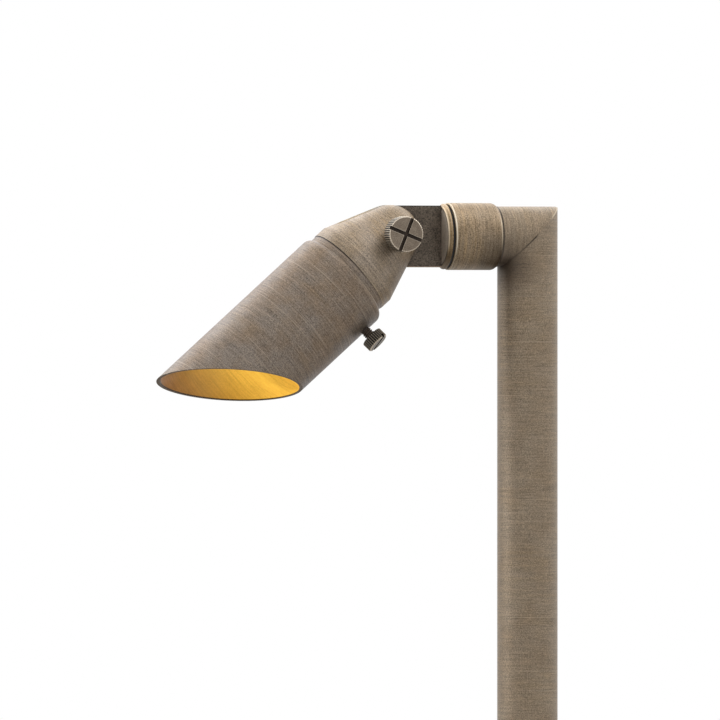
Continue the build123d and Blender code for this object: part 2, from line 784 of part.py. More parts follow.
# Lens ring: an open spring ring in the shroud's groove
with BuildPart() as lens_ring:
    ring_outer = groove_radius - braze_fit
    ring_front = lens_ring_rear + lens_ring_thickness
    ring(hood, ring_outer - lens_ring_width, ring_outer, lens_ring_rear, ring_front)
    with BuildSketch(hood.offset(lens_ring_rear)):
        Rectangle(2 * ring_outer, lens_ring_gap, align=(Align.MIN, Align.CENTER))
    extrude(amount=lens_ring_thickness, mode=Mode.SUBTRACT)
lens_ring.part.label = "lens_ring"
export_step(lens_ring.part, "parts/lens_ring.step")

# Shroud thumbscrew: a slotted knurled knob whose shank goes through the shroud's wall
with BuildPart() as shroud_thumbscrew:
    knurled_knob(
        clamp,
        clamp_knob / 2,
        clamp_knob_back,
        clamp_knob_face,
        teeth=clamp_knob_teeth,
        depth=clamp_knurl,
        back_bevel=clamp_knob_edge,
        face_bevel=clamp_knob_lip,
    )
    ring(clamp, 0, clamp_shank / 2, clamp_tip, clamp_knob_back)
    with BuildSketch(clamp.offset(clamp_knob_face)):
        Rectangle(2 * clamp_knob, clamp_slot_width, rotation=clamp_slot_turn)
    extrude(amount=-clamp_slot_depth, mode=Mode.SUBTRACT)
shroud_thumbscrew.part.label = "shroud_thumbscrew"
export_step(shroud_thumbscrew.part, "parts/shroud_thumbscrew.step")
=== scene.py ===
import json
from math import cos, hypot, pi, radians, sin
import bmesh
import bpy
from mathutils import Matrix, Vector


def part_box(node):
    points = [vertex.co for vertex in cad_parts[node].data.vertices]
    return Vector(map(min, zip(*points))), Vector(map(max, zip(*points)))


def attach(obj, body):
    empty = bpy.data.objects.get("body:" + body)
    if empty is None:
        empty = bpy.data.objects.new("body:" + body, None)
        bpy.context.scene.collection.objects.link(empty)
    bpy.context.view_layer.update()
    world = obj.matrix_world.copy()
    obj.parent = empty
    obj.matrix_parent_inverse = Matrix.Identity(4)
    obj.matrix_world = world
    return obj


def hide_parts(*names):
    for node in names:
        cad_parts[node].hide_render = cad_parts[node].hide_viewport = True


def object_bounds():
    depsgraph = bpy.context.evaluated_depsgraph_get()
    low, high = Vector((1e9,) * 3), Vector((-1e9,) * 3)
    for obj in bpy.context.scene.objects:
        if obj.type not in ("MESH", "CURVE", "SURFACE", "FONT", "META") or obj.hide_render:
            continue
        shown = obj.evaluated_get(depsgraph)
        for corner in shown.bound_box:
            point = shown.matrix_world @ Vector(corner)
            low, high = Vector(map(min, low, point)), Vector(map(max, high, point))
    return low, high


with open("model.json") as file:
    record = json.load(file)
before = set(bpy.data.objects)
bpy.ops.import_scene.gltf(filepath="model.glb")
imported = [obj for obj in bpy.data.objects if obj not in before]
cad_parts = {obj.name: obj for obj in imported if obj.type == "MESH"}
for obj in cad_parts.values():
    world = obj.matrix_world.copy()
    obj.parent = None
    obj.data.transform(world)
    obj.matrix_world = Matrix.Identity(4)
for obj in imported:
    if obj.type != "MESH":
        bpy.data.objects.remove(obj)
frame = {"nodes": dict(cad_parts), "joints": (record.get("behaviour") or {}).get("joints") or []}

cadLow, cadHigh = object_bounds()
nodes = frame["nodes"]
joints = {joint["name"]: joint for joint in frame["joints"]}
scene = bpy.context.scene
print("frame loaded:", len(nodes), "nodes")


def jointLine(name):                                  # the point and the axis of a joint
    return Vector(joints[name]["pos_m"]), Vector(joints[name]["axis"]).normalized()


def reach(node, point, axis):                         # lowest and highest place of a node along an axis
    places = [(corner.co - point).dot(axis) for corner in nodes[node].data.vertices]
    return min(places), max(places)


def radiusOf(node, point, axis):                      # largest radius of a node about an axis
    offsets = [corner.co - point for corner in nodes[node].data.vertices]
    return max((offset - axis * offset.dot(axis)).length for offset in offsets)


# the lines that the finishes follow, each a point and an axis
up = Vector((0, 0, 1))
stemLine = (Vector(), up)
armLine = jointLine("arm_swivel")
headLine = jointLine("shroud_turn")
tiltLine = jointLine("tilt_screw_turn")
clampLine = jointLine("shroud_screw_turn")
armPoint = armLine[0]
pivot, headAxis = headLine
hoodOffset = 0.0009                                   # the shroud hangs this much towards its screw
hoodPoint = pivot + clampLine[1] * hoodOffset
hoodLine = (hoodPoint, headAxis)


# short ways to set up shader nodes
def tone(red, green, blue):                           # 0 to 255 as seen on a screen, to a linear colour
    levels = [part / 255 for part in (red, green, blue)]
    linear = [level / 12.92 if level <= 0.04045 else ((level + 0.055) / 1.055) ** 2.4 for level in levels]
    return (*linear, 1.0)


black = tone(0, 0, 0)
white = tone(255, 255, 255)
noiseSpan = (0.3, 0.7)                                # nearly all levels of a noise lie in here


def startMaterial(name):
    material = bpy.data.materials.new(name)
    material.use_nodes = True
    tree = material.node_tree
    shader = tree.nodes["Principled BSDF"]
    return material, tree, shader


def put(tree, kind, inputs, **settings):              # a new node, its inputs linked or set
    node = tree.nodes.new("ShaderNode" + kind)
    for key, value in settings.items():
        setattr(node, key, value)
    for key, value in inputs.items():
        if isinstance(value, bpy.types.NodeSocket):
            tree.links.new(value, node.inputs[key])
        else:
            node.inputs[key].default_value = value
    return node


def join(tree, source, shader, socket):
    tree.links.new(source, shader.inputs[socket])


def setSockets(shader, values):
    for socket, value in values.items():
        shader.inputs[socket].default_value = value


def calc(tree, operation, first, second=0.0):
    return put(tree, "Math", {0: first, 1: second}, operation=operation).outputs[0]


def times(tree, first, second):
    return calc(tree, "MULTIPLY", first, second)


def remap(tree, value, low, high, toLow=0.0, toHigh=1.0, smooth=False):
    node = put(tree, "MapRange", {0: value, 1: low, 2: high, 3: toLow, 4: toHigh}, clamp=True)
    node.interpolation_type = "SMOOTHSTEP" if smooth else "LINEAR"
    return node.outputs[0]


def blend(tree, factor, first, second, mode="MIX"):
    node = put(tree, "Mix", {0: factor, 6: first, 7: second}, data_type="RGBA", blend_type=mode)
    return node.outputs[2]


def paintOver(tree, colour, mask, amount, paint):         # marks, painted highlights and painted shade laid over a colour where a mask says
    return blend(tree, times(tree, mask, amount), colour, tone(*paint))


def ownPlace(tree):
    return put(tree, "TexCoord", {}).outputs["Object"]


def split(tree, vector):
    return put(tree, "SeparateXYZ", {0: vector}).outputs


def lengthOf(tree, first, second):                    # of the vector with these two parts
    flat = put(tree, "CombineXYZ", {0: first, 1: second}).outputs[0]
    return put(tree, "VectorMath", {0: flat}, operation="LENGTH").outputs["Value"]


def axisFrame(tree, point, axis):                     # metres, with z along the axis and x, y across it
    turn = axis.rotation_difference(up).to_euler()
    shift = -(turn.to_matrix() @ point)
    inputs = {"Vector": ownPlace(tree), "Location": shift, "Rotation": turn}
    return put(tree, "Mapping", inputs).outputs[0]


def noise(tree, place, scale, detail, rough):
    inputs = {"Vector": place, "Scale": scale, "Detail": detail, "Roughness": rough}
    return put(tree, "TexNoise", inputs).outputs["Fac"]


def strokes(tree, place, around, along, detail, rough):    # noise drawn out round the axis
    pulled = put(tree, "VectorMath", {0: place, 1: (around, around, along)}, operation="MULTIPLY")
    return noise(tree, pulled.outputs[0], 1.0, detail, rough)


def weigh(tree, first, second, share):                # share of the first, and the rest of the second
    return calc(tree, "ADD", times(tree, first, share), times(tree, second, 1 - share))


def speckle(tree, colour, fine, amount):              # lighter and darker with a noise
    level = remap(tree, fine, *noiseSpan, 1 - amount, 1 + amount)
    grey = put(tree, "CombineColor", {0: level, 1: level, 2: level}).outputs[0]
    return blend(tree, 1.0, colour, grey, "MULTIPLY")


def roughen(tree, shader, source, middle, spread):
    level = remap(tree, source, *noiseSpan, middle - spread, middle + spread)
    join(tree, level, shader, "Roughness")


def emboss(tree, shader, height, distance, strength=0.5):
    bump = put(tree, "Bump", {"Height": height, "Distance": distance, "Strength": strength})
    join(tree, bump.outputs[0], shader, "Normal")


def edgeWear(tree, width, low=0.006, high=0.06):      # 1 along the sharp edges, 0 on plain faces
    soft = put(tree, "Bevel", {"Radius": width}, samples=8).outputs[0]
    plain = put(tree, "NewGeometry", {}).outputs["Normal"]
    match = put(tree, "VectorMath", {0: soft, 1: plain}, operation="DOT_PRODUCT").outputs["Value"]
    return remap(tree, calc(tree, "SUBTRACT", 1.0, match), low, high)


def nearLine(tree, value, place, half, soft):         # 1 within half of a place, then fading out
    apart = calc(tree, "ABSOLUTE", calc(tree, "SUBTRACT", value, place))
    return remap(tree, apart, half, half + soft, 1.0, 0.0, True)


def dress(node, *materials):
    mesh = nodes[node].data
    mesh.materials.clear()
    for material in materials:
        mesh.materials.append(material)


def choose(node, rule):                               # gives each face the material that the rule names
    for face in nodes[node].data.polygons:
        face.material_index = rule(face.center, face.normal)


# brushed bronze, on nearly all that shows: its strokes run round the axis of each piece
bronzeLayers = {                                      # strokes: around, along, detail, roughness
    "hair": (70, 2100, 1.0, 0.5),
    "band": (26, 620, 2.0, 0.55),
    "line": (14, 1150, 0.0, 0.5),
    "warm": (34, 60, 2.0, 0.5),
    "patch": (62, 62, 3.0, 0.55),
    "grain": (1750, 1750, 1.0, 0.6),
}
bronzeMarks = {                                       # layer, and its levels at none and at all of the mark
    "grey": ("patch", 0.36, 0.64),
    "warm": ("warm", 0.44, 0.66),
    "gold": ("band", 0.34, 0.64),
    "streak": ("band", 0.58, 0.34),
    "scratch": ("line", 0.72, 0.80),
    "nick": ("line", 0.28, 0.20),
}
bronzeSurface = {"edge": 0.0005, "spread": 0.03, "relief": 0.00005}


def drawLinesAcross(tree, colour, along, height, linesAcross):    # dark seams, painted highlights and painted shade as lines across the axis, some fading with height
    for lineAcross in linesAcross:
        mark = nearLine(tree, along, lineAcross["place"], lineAcross["half"], lineAcross["half"])
        if "fade" in lineAcross:
            mark = times(tree, mark, nearLine(tree, height, *lineAcross["fade"]))
        colour = paintOver(tree, colour, mark, lineAcross["depth"], lineAcross["tone"])
    return colour


def drawMitre(tree, colour, east, rise, look):        # dark joint line that fades outwards, then a painted highlight along it
    onLine = nearLine(tree, calc(tree, "SUBTRACT", rise, east), 0.0, look["half"], look["soft"])
    fading = remap(tree, east, look["from"], look["to"], look["depth"], 0.0, True)
    filling = remap(tree, east, look["inner"], look["from"], look["filled"], 1.0)
    colour = paintOver(tree, colour, onLine, times(tree, fading, filling), look["line"])
    # painted highlight on the joint near the elbow's outer corner
    glintSpan = remap(tree, east, *look["glintSpan"], 0.0, look["shine"], True)
    return paintOver(tree, colour, onLine, glintSpan, look["glint"])


def drawCornerShade(tree, colour, east, rise, cornerShade):         # painted shade, darkest in the elbow's inner corner and fading out around it
    aside = calc(tree, "SUBTRACT", east, cornerShade["corner"])
    below = calc(tree, "SUBTRACT", rise, cornerShade["corner"])
    cover = remap(tree, lengthOf(tree, aside, below), 0.0, cornerShade["reach"], cornerShade["dark"], 0.0, True)
    return blend(tree, cover, colour, tone(*cornerShade["tone"]))


def brushedBronze(name, point, axis, look, mitre=None, linesAcross=(), cornerShade=None):
    material, tree, shader = startMaterial(name)
    place = axisFrame(tree, point, axis)
    layers = {kind: strokes(tree, place, *shape) for kind, shape in bronzeLayers.items()}
    marks = {kind: remap(tree, layers[source], none, full)
             for kind, (source, none, full) in bronzeMarks.items()}
    fine = weigh(tree, layers["hair"], layers["grain"], look["brush"])
    golden = times(tree, marks["warm"], marks["gold"])
    colour = blend(tree, marks["grey"], tone(*look["base"]), tone(*look["grey"]))
    colour = paintOver(tree, colour, golden, look["gilt"], look["gold"])
    colour = paintOver(tree, colour, marks["streak"], look["streak"], look["dark"])
    colour = speckle(tree, colour, fine, look["fine"])
    colour = paintOver(tree, colour, marks["scratch"], look["scratch"], look["bright"])
    colour = paintOver(tree, colour, marks["nick"], look["nick"], look["dark"])
    if look["wear"]:
        worn = edgeWear(tree, bronzeSurface["edge"])
        colour = paintOver(tree, colour, worn, look["wear"], look["bright"])
    along = split(tree, place)[2]
    spot = split(tree, ownPlace(tree))
    rise = calc(tree, "SUBTRACT", spot[2], armPoint.z)
    colour = drawLinesAcross(tree, colour, along, spot[2], linesAcross)
    if mitre:
        colour = drawMitre(tree, colour, spot[0], rise, mitre)
    if cornerShade:
        colour = drawCornerShade(tree, colour, spot[0], rise, cornerShade)
    join(tree, colour, shader, "Base Color")
    roughen(tree, shader, layers["band"], look["rough"], bronzeSurface["spread"])
    emboss(tree, shader, fine, bronzeSurface["relief"])
    setSockets(shader, {"Metallic": look["metal"], "Specular IOR Level": look["sheen"],
                        "Specular Tint": tone(*look["tint"])})
    return material


# pipe, arm and sleeve
pipeRadius = radiusOf("stem_tube", *stemLine)
sleeveStart, sleeveEnd = reach("arm_sleeve", *armLine)
pipeLook = {
    "base": (128, 111, 90), "grey": (134, 119, 100), "gold": (148, 125, 90), "dark": (102, 86, 69),
    "bright": (182, 165, 141), "tint": (255, 255, 255), "gilt": 0.25, "streak": 0.06, "fine": 0.55,
    "brush": 0.32, "scratch": 0.3, "nick": 0.3, "wear": 0.0, "rough": 0.47, "metal": 0.55, "sheen": 0.8,
}
armLook = {**pipeLook, "gilt": 0.4, "fine": 0.66, "brush": 0.4, "streak": 0.08}
sleeveLook = {
    **pipeLook, "base": (137, 119, 96), "grey": (147, 131, 111), "gold": (168, 138, 94),
    "dark": (94, 76, 57), "bright": (228, 210, 180), "tint": (190, 180, 168), "gilt": 0.40,
    "streak": 0.10, "fine": 0.74, "brush": 0.44, "scratch": 0.4, "nick": 0.25, "wear": 0.9,
    "metal": 0.3, "sheen": 0.5,
}
mitreLook = {                                         # places are metres east of the stem's axis
    "half": 0.0003, "soft": 0.0005, "line": (38, 29, 20), "depth": 0.95, "filled": 0.35,
    "inner": -0.010, "from": -0.0005, "to": 0.0020,
    "glintSpan": (0.0075, 0.0115), "shine": 0.4, "glint": (206, 192, 168),
}
# painted shade in the elbow's inner corner, reaching further onto the sleeve's underside
elbowShade = {"corner": 0.00065 - pipeRadius, "reach": 0.021, "dark": 0.85, "tone": (52, 38, 24)}
sleeveShade = {**elbowShade, "reach": 0.028}
# lines across the axis, with the height, half width and soft edge of the stretch that shows them
armSeam = {"place": sleeveEnd + 0.0003, "half": 0.0004, "depth": 0.85, "tone": (30, 23, 17)}
# painted highlights along the sleeve's rear and front edges, fading off above and below
sleeveGlint = {"place": sleeveEnd - 0.0007, "half": 0.00022, "depth": 0.75, "tone": (232, 216, 188),
               "fade": (armPoint.z + 0.001, 0.004, 0.008)}
frontGlint = {"place": sleeveStart + 0.0005, "half": 0.0002, "depth": 0.8, "tone": (240, 228, 206),
              "fade": (armPoint.z + 0.005, 0.008, 0.008)}
dress("stem_tube", brushedBronze("bronzeStem", *stemLine, pipeLook, mitreLook, cornerShade=elbowShade))
dress("arm_tube", brushedBronze("bronzeArm", *armLine, armLook, mitreLook, [armSeam], elbowShade))
dress("arm_sleeve", brushedBronze("bronzeSleeve", *armLine, sleeveLook, linesAcross=[sleeveGlint, frontGlint],
                                  cornerShade=sleeveShade))
print("pipe, arm and sleeve dressed")


# meshes made here: rings of points, and quads between each ring and the next
def skinRings(shape, rings):
    for near, far in zip(rings, rings[1:]):
        for step in range(len(near)):
            after = (step + 1) % len(near)
            shape.faces.new((near[step], near[after], far[after], far[step]))


def makePiece(name, shape):
    bmesh.ops.recalc_face_normals(shape, faces=shape.faces)
    mesh = bpy.data.meshes.new(name)
    shape.to_mesh(mesh)
    shape.free()
    piece = bpy.data.objects.new(name, mesh)
    scene.collection.objects.link(piece)
    return piece


# foot: the solid's outline turned round the stem, with the thread cut into its stud
def threadedFoot(name, look):
    low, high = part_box("foot_plug")
    shoulder = 0.0                                    # the part's origin is here
    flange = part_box("stem_tube")[0].z
    corners = [(hypot(corner.co.x, corner.co.y), corner.co.z) for corner in nodes["foot_plug"].data.vertices]
    bore = min(radius for radius, place in corners)
    spigot = max(radius for radius, place in corners if place > high.z - look["probe"])
    stud = max(radius for radius, place in corners if place < shoulder - look["probe"])

    def cutDepth(place, share):                       # at a share of a turn round the stud
        phase = (place / look["pitch"] - share) % 1
        ridge = min(1, max(0, look["crest"] - look["flank"] * abs(phase - 0.5)))
        started = min(1, (place - low.z) / look["lead"])
        return look["depth"] * (1 - ridge * started)

    rows = int((shoulder - low.z) / look["pitch"] * look["rows"])
    bevel = look["bevel"]
    outline = [(bore, low.z)]
    outline += [(stud, low.z + (shoulder - low.z) * row / rows) for row in range(rows + 1)]
    outline += [(high.x - bevel, shoulder), (high.x, shoulder + bevel), (high.x, flange), (spigot, flange),
                (spigot, high.z - bevel), (spigot - bevel, high.z), (bore, high.z)]
    shape = bmesh.new()
    rings = []
    for radius, place in outline:
        ring = []
        for step in range(look["sides"]):
            share = step / look["sides"]
            threaded = radius == stud and place < shoulder
            out = radius - cutDepth(place, share) if threaded else radius
            ring.append(shape.verts.new((out * cos(2 * pi * share), out * sin(2 * pi * share), place)))
        rings.append(ring)
    skinRings(shape, rings + rings[:1])
    piece = makePiece(name, shape)
    piece.data.shade_smooth()
    piece.data.set_sharp_from_angle(angle=radians(look["sharp"]))
    return piece


footLook = {"pitch": 0.001814, "depth": 0.0011, "crest": 1.125, "flank": 2.5, "lead": 0.0025, "rows": 14,
            "sides": 96, "bevel": 0.0004, "probe": 0.001, "sharp": 30}
foot = threadedFoot("threadedFoot", footLook)
foot.data.materials.append(brushedBronze("bronzeFoot", *stemLine, {**pipeLook, "wear": 0.6}))
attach(foot, "stem")
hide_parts("foot_plug")
print("foot made")

# lamp head: housing with milled slot walls lightened as painted light, barrel, and shroud with a gilded
# inside that glows with painted lamp light
headLook = {
    "base": (123, 106, 88), "grey": (127, 116, 105), "gold": (150, 124, 84), "dark": (96, 81, 64),
    "bright": (178, 163, 144), "tint": (198, 202, 212), "gilt": 0.12, "streak": 0.03, "fine": 0.64,
    "brush": 0.36, "scratch": 0.45, "nick": 0.2, "wear": 0.0, "rough": 0.47, "metal": 0.4, "sheen": 0.65,
}
housingLook = {**headLook, "base": (141, 124, 102), "grey": (149, 135, 119), "gilt": 0.5, "brush": 0.38,
               "wear": 0.7}
# milled slot walls, made lighter still as painted light against the shade inside the slot
milledAndLitLook = {**headLook, "base": (222, 208, 186), "grey": (230, 217, 197), "gilt": 0.1, "streak": 0.05,
              "fine": 0.2, "scratch": 0.1, "metal": 0.1}
rimLook = {**headLook, "base": (96, 79, 58), "grey": (110, 92, 70), "metal": 0.2, "sheen": 0.1}
headSeam = {"place": reach("head_housing", *headLine)[1], "half": 0.00022, "depth": 0.9,
            "tone": (30, 23, 17), "fade": (pivot.z, 0.008, 0.022)}
housingFaces = {"flat": 0.98, "slotWall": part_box("tilt_washers")[1].y + 0.0003}


def housingFace(centre, normal):                      # outside, walls of the slot
    return int(abs(normal.y) > housingFaces["flat"] and abs(centre.y) < housingFaces["slotWall"])


milledAndLit = brushedBronze("bronzeMilledAndLit", pivot, up, milledAndLitLook)
dress("head_housing", brushedBronze("bronzeHousing", *headLine, housingLook, linesAcross=[headSeam]), milledAndLit)
choose("head_housing", housingFace)
dress("lamp_barrel", brushedBronze("bronzeBarrel", *headLine, headLook, linesAcross=[headSeam]))

# painted light: the gilt glows as if lit warm by the lamp, strongest beside the lens and fading to the tip
lensFace = reach("lens", *hoodLine)[1]
shroudTip = reach("shroud", *hoodLine)[1]
giltLayers = {                                        # strokes: around, along, detail, roughness
    "hair": (90, 1400, 1.0, 0.5),
    "band": (26, 420, 2.0, 0.5),
    "grain": (1300, 1300, 1.0, 0.6),
}
giltLook = {
    "low": (142, 94, 47), "high": (155, 103, 53), "bands": (0.34, 0.66), "fine": 0.17, "brush": 0.6,
    "rough": 0.42, "spread": 0.06, "relief": 0.00005, "metal": 0.5,
    "light": (250, 200, 78), "from": shroudTip + 0.008, "to": lensFace + 0.0119, "fall": 2.15,
    "full": 0.89, "near": (lensFace + 0.0059, lensFace + 0.0139), "nearLeast": 0.7,
    "behind": lensFace + 0.0019, "brim": (0.0004, 0.00064), "edge": (58, 45, 32),
}
shroudFaces = {"front": 0.05, "rimLean": (0.6, 0.9), "inwards": -0.3, "stepLean": 0.95}


def gildedInside(name, look, mouthPoint, mouthAxis):
    material, tree, shader = startMaterial(name)
    place = axisFrame(tree, *hoodLine)
    depth = split(tree, place)[2]
    layers = {kind: strokes(tree, place, *shape) for kind, shape in giltLayers.items()}
    fine = weigh(tree, layers["hair"], layers["grain"], look["brush"])
    bands = remap(tree, layers["band"], *look["bands"])
    colour = blend(tree, bands, tone(*look["low"]), tone(*look["high"]))
    colour = speckle(tree, colour, fine, look["fine"])
    edge = put(tree, "VectorMath", {0: ownPlace(tree), 1: mouthPoint}, operation="SUBTRACT").outputs[0]
    within = put(tree, "VectorMath", {0: edge, 1: mouthAxis}, operation="DOT_PRODUCT").outputs["Value"]
    brim = remap(tree, calc(tree, "ABSOLUTE", within), *look["brim"], 1.0, 0.0, True)
    # darker at the mouth's brim and behind the lens, with no glow painted there
    darkened = calc(tree, "MAXIMUM", brim, calc(tree, "LESS_THAN", depth, look["behind"]))
    join(tree, blend(tree, darkened, colour, tone(*look["edge"])), shader, "Base Color")
    paintedGlow = calc(tree, "POWER", remap(tree, depth, look["from"], look["to"]), look["fall"])
    beside = remap(tree, depth, *look["near"], look["nearLeast"], 1.0, True)    # less right at the lens
    paintedGlow = times(tree, times(tree, paintedGlow, look["full"]), beside)
    join(tree, speckle(tree, tone(*look["light"]), fine, look["fine"]), shader, "Emission Color")
    join(tree, times(tree, paintedGlow, calc(tree, "SUBTRACT", 1.0, darkened)), shader, "Emission Strength")
    roughen(tree, shader, layers["band"], look["rough"], look["spread"])
    emboss(tree, shader, fine, look["relief"])
    setSockets(shader, {"Metallic": look["metal"]})
    return material


def shroudFace(centre, normal):                       # outside, inside, rim of the mouth
    offset = centre - hoodPoint
    along = offset.dot(headAxis)
    outward = (offset - headAxis * along).normalized()
    lean = normal.dot(headAxis)
    if along < shroudFaces["front"]:
        return 0
    if shroudFaces["rimLean"][0] < lean < shroudFaces["rimLean"][1]:
        return 2
    return int(normal.dot(outward) < shroudFaces["inwards"] or lean > shroudFaces["stepLean"])


rimFaces = [face for face in nodes["shroud"].data.polygons if shroudFace(face.center, face.normal) == 2]
rimMiddle = sum((face.center for face in rimFaces), Vector()) / len(rimFaces)
inside = gildedInside("giltInside", giltLook, rimMiddle, rimFaces[0].normal)
rim = brushedBronze("bronzeRim", *hoodLine, rimLook)
dress("shroud", brushedBronze("bronzeShroud", *hoodLine, headLook), inside, rim)
choose("shroud", shroudFace)
print("lamp head dressed")


# knuckle tongue: a dark grainy plate, with the brushed rim of its disc; painted light and shade on its bevels
# and the disc's face
def darkCast(name, look):
    material, tree, shader = startMaterial(name)
    place = ownPlace(tree)
    cloud = noise(tree, place, *look["cloud"])
    grain = noise(tree, place, *look["pitting"])
    colour = blend(tree, remap(tree, cloud, *look["clouds"]), tone(*look["dark"]), tone(*look["light"]))
    colour = speckle(tree, colour, grain, look["grain"])
    if "ring" in look:                                # a dark line just inside the disc's rim
        spot = split(tree, axisFrame(tree, *armLine))
        ring = remap(tree, lengthOf(tree, spot[0], spot[1]), *look["ring"], smooth=True)
        colour = blend(tree, ring, colour, tone(*look["ringTone"]))
    join(tree, colour, shader, "Base Color")
    roughen(tree, shader, grain, look["rough"], look["spread"])
    emboss(tree, shader, grain, look["relief"], look["bump"])
    setSockets(shader, {"Metallic": look["metal"]})
    return material


plateLook = {                                         # cloud and pitting: scale, detail, roughness
    "dark": (76, 67, 58), "light": (96, 86, 75), "cloud": (130, 3.0, 0.6), "clouds": (0.35, 0.65),
    "pitting": (1700, 3.0, 0.7), "grain": 0.95, "rough": 0.55, "spread": 0.08, "relief": 0.0001,
    "bump": 0.6, "metal": 0.6,
}
# painted shade on the plate's upper bevel and painted highlight on its lower bevel
plateTopShadeLook = {**plateLook, "dark": (30, 26, 22), "light": (40, 35, 30)}
plateFootLitLook = {**plateLook, "dark": (132, 112, 92), "light": (150, 130, 108)}
# the disc's face is smoother and lighter, and made lighter still as painted light against the shade beside
# the plate
discFrontLitLook = {**plateLook, "dark": (190, 178, 164), "light": (206, 194, 180), "grain": 0.3,
                 "ring": (0.0146, 0.0158), "ringTone": (24, 19, 15)}
discBandLook = {**sleeveLook, "base": (150, 124, 88), "gilt": 0.8, "wear": 0.0}
discBack = -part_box("swivel_gasket")[0].x + 0.0006     # just past the disc's back, west of the stem's axis
discAhead = discBack + 0.0019                         # just past its front face
tongueFaces = {"rim": 0.0150, "flat": 0.98, "bevel": (0.2, 0.9)}
# painted highlight along the rim's front edge, and painted shade on the rim's lower part
discGlint = {"place": 0.0004 - discAhead - armPoint.x, "half": 0.0003, "depth": 0.7,
             "tone": (240, 222, 194), "fade": (armPoint.z + 0.004, 0.006, 0.010)}
discShade = {"place": discGlint["place"], "half": 0.003, "depth": 0.7,
             "tone": (66, 54, 42), "fade": (armPoint.z - 0.018, 0.006, 0.009)}


def tongueFace(centre, normal):                       # plate, disc's rim and front, upper bevel in painted shade, lower bevel in painted light
    across = hypot(centre.y - armPoint.y, centre.z - armPoint.z)
    onDisc = abs(centre.x) < discAhead
    if onDisc and abs(normal.x) > tongueFaces["flat"]:
        return 2
    if onDisc and (across > tongueFaces["rim"] or abs(centre.x) < discBack):
        return 1
    if tongueFaces["bevel"][0] < abs(normal.y) < tongueFaces["bevel"][1]:
        return 3 if normal.z > 0 else 4
    return 0


dress("knuckle_tongue", darkCast("bronzePlate", plateLook),
      brushedBronze("bronzeDiscRim", *armLine, discBandLook, linesAcross=[discGlint, discShade]),
      darkCast("bronzeDiscFrontLit", discFrontLitLook), darkCast("bronzePlateTopShade", plateTopShadeLook),
      darkCast("bronzePlateFootLit", plateFootLitLook))
choose("knuckle_tongue", tongueFace)


# thumbscrews: painted highlights on the crests, painted shade in the grooves and slots
def knurledKnob(name, node, line, look):
    material, tree, shader = startMaterial(name)
    face = reach(node, *line)[1]
    radius = radiusOf(node, *line)
    place = axisFrame(tree, *line)
    spot = split(tree, place)
    across = lengthOf(tree, spot[0], spot[1])
    grain = noise(tree, place, *look["pitting"])
    cloud = noise(tree, place, *look["cloud"])
    inHead = calc(tree, "GREATER_THAN", spot[2], face - look["head"])
    atFace = calc(tree, "GREATER_THAN", spot[2], face - look["lipDeep"])
    onKnurl = times(tree, inHead, calc(tree, "GREATER_THAN", across, radius - look["knurl"]))
    onSide = times(tree, onKnurl, calc(tree, "SUBTRACT", 1.0, atFace))
    onLip = times(tree, atFace, calc(tree, "GREATER_THAN", across, radius - look["lip"]))
    colour = blend(tree, remap(tree, cloud, *look["clouds"]), tone(*look["low"]), tone(*look["high"]))
    colour = speckle(tree, colour, grain, look["grain"])
    colour = paintOver(tree, colour, edgeWear(tree, look["edge"]), look["wear"], look["bright"])
    # painted highlight on the knurl's crests and painted shade in its grooves
    crest = remap(tree, across, radius - look["crestDeep"], radius)
    paintedRidgeLight = blend(tree, crest, tone(*look["groove"]), tone(*look["crest"]))
    colour = blend(tree, onSide, colour, paintedRidgeLight)
    colour = paintOver(tree, colour, onLip, look["wear"], look["bright"])
    # painted highlight on the thread's crests over the dark shank
    thread = remap(tree, across, *look["thread"])
    shank = blend(tree, thread, tone(*look["shank"]), tone(*look["threadCrest"]))
    colour = blend(tree, inHead, shank, colour)
    join(tree, colour, shader, "Base Color")
    roughen(tree, shader, grain, look["rough"], look["spread"])
    emboss(tree, shader, grain, look["relief"])
    setSockets(shader, {"Metallic": look["metal"], "Specular IOR Level": look["sheen"]})
    return material


def markSlots(node, line, look):                      # floor and walls of the slots in a knob's face, which take the painted shade
    point, axis = line
    face = reach(node, *line)[1]
    inner = radiusOf(node, *line) - look["teeth"] - look["slack"]

    def rule(centre, normal):
        offset = centre - point
        sunk = face - offset.dot(axis)
        out = offset - axis * offset.dot(axis)
        lean = normal.dot(axis)
        if not look["slack"] <= sunk <= look["slot"] + look["slack"]:
            return 0
        if lean > look["floorLean"]:
            return 1
        sideways = abs(normal.dot(out.normalized())) < look["outLean"]
        return int(abs(lean) < look["wallLean"] and (out.length < inner or sideways))

    choose(node, rule)


tiltLook = {                                          # cloud and pitting: scale, detail, roughness
    "low": (110, 97, 83), "high": (128, 115, 100), "bright": (226, 212, 192), "crest": (196, 182, 160),
    "groove": (22, 17, 13), "shank": (104, 92, 78), "threadCrest": (104, 92, 78), "thread": (0.002, 0.003),
    "cloud": (240, 3.0, 0.6), "clouds": (0.35, 0.65), "pitting": (1900, 3.0, 0.7), "grain": 0.4,
    "wear": 0.65, "edge": 0.0004, "rough": 0.46, "spread": 0.08, "relief": 0.00006, "metal": 0.6,
    "sheen": 0.7, "head": 0.0102, "knurl": 0.0009, "teeth": 0.00035, "crestDeep": 0.0001925,
    "lip": 0.00055, "lipDeep": 0.0005, "slot": 0.0016, "slack": 0.0002, "floorLean": 0.9, "wallLean": 0.1,
    "outLean": 0.5,
}
clampLook = {
    **tiltLook, "low": (84, 74, 62), "high": (104, 93, 79), "bright": (196, 182, 164),
    "crest": (140, 127, 110), "groove": (12, 9, 7), "shank": (26, 21, 17), "threadCrest": (84, 68, 54),
    "thread": (0.0022, 0.0029), "head": 0.0054, "teeth": 0.0005, "crestDeep": 0.000275, "lip": 0.0010,
    "slot": 0.0018,
}
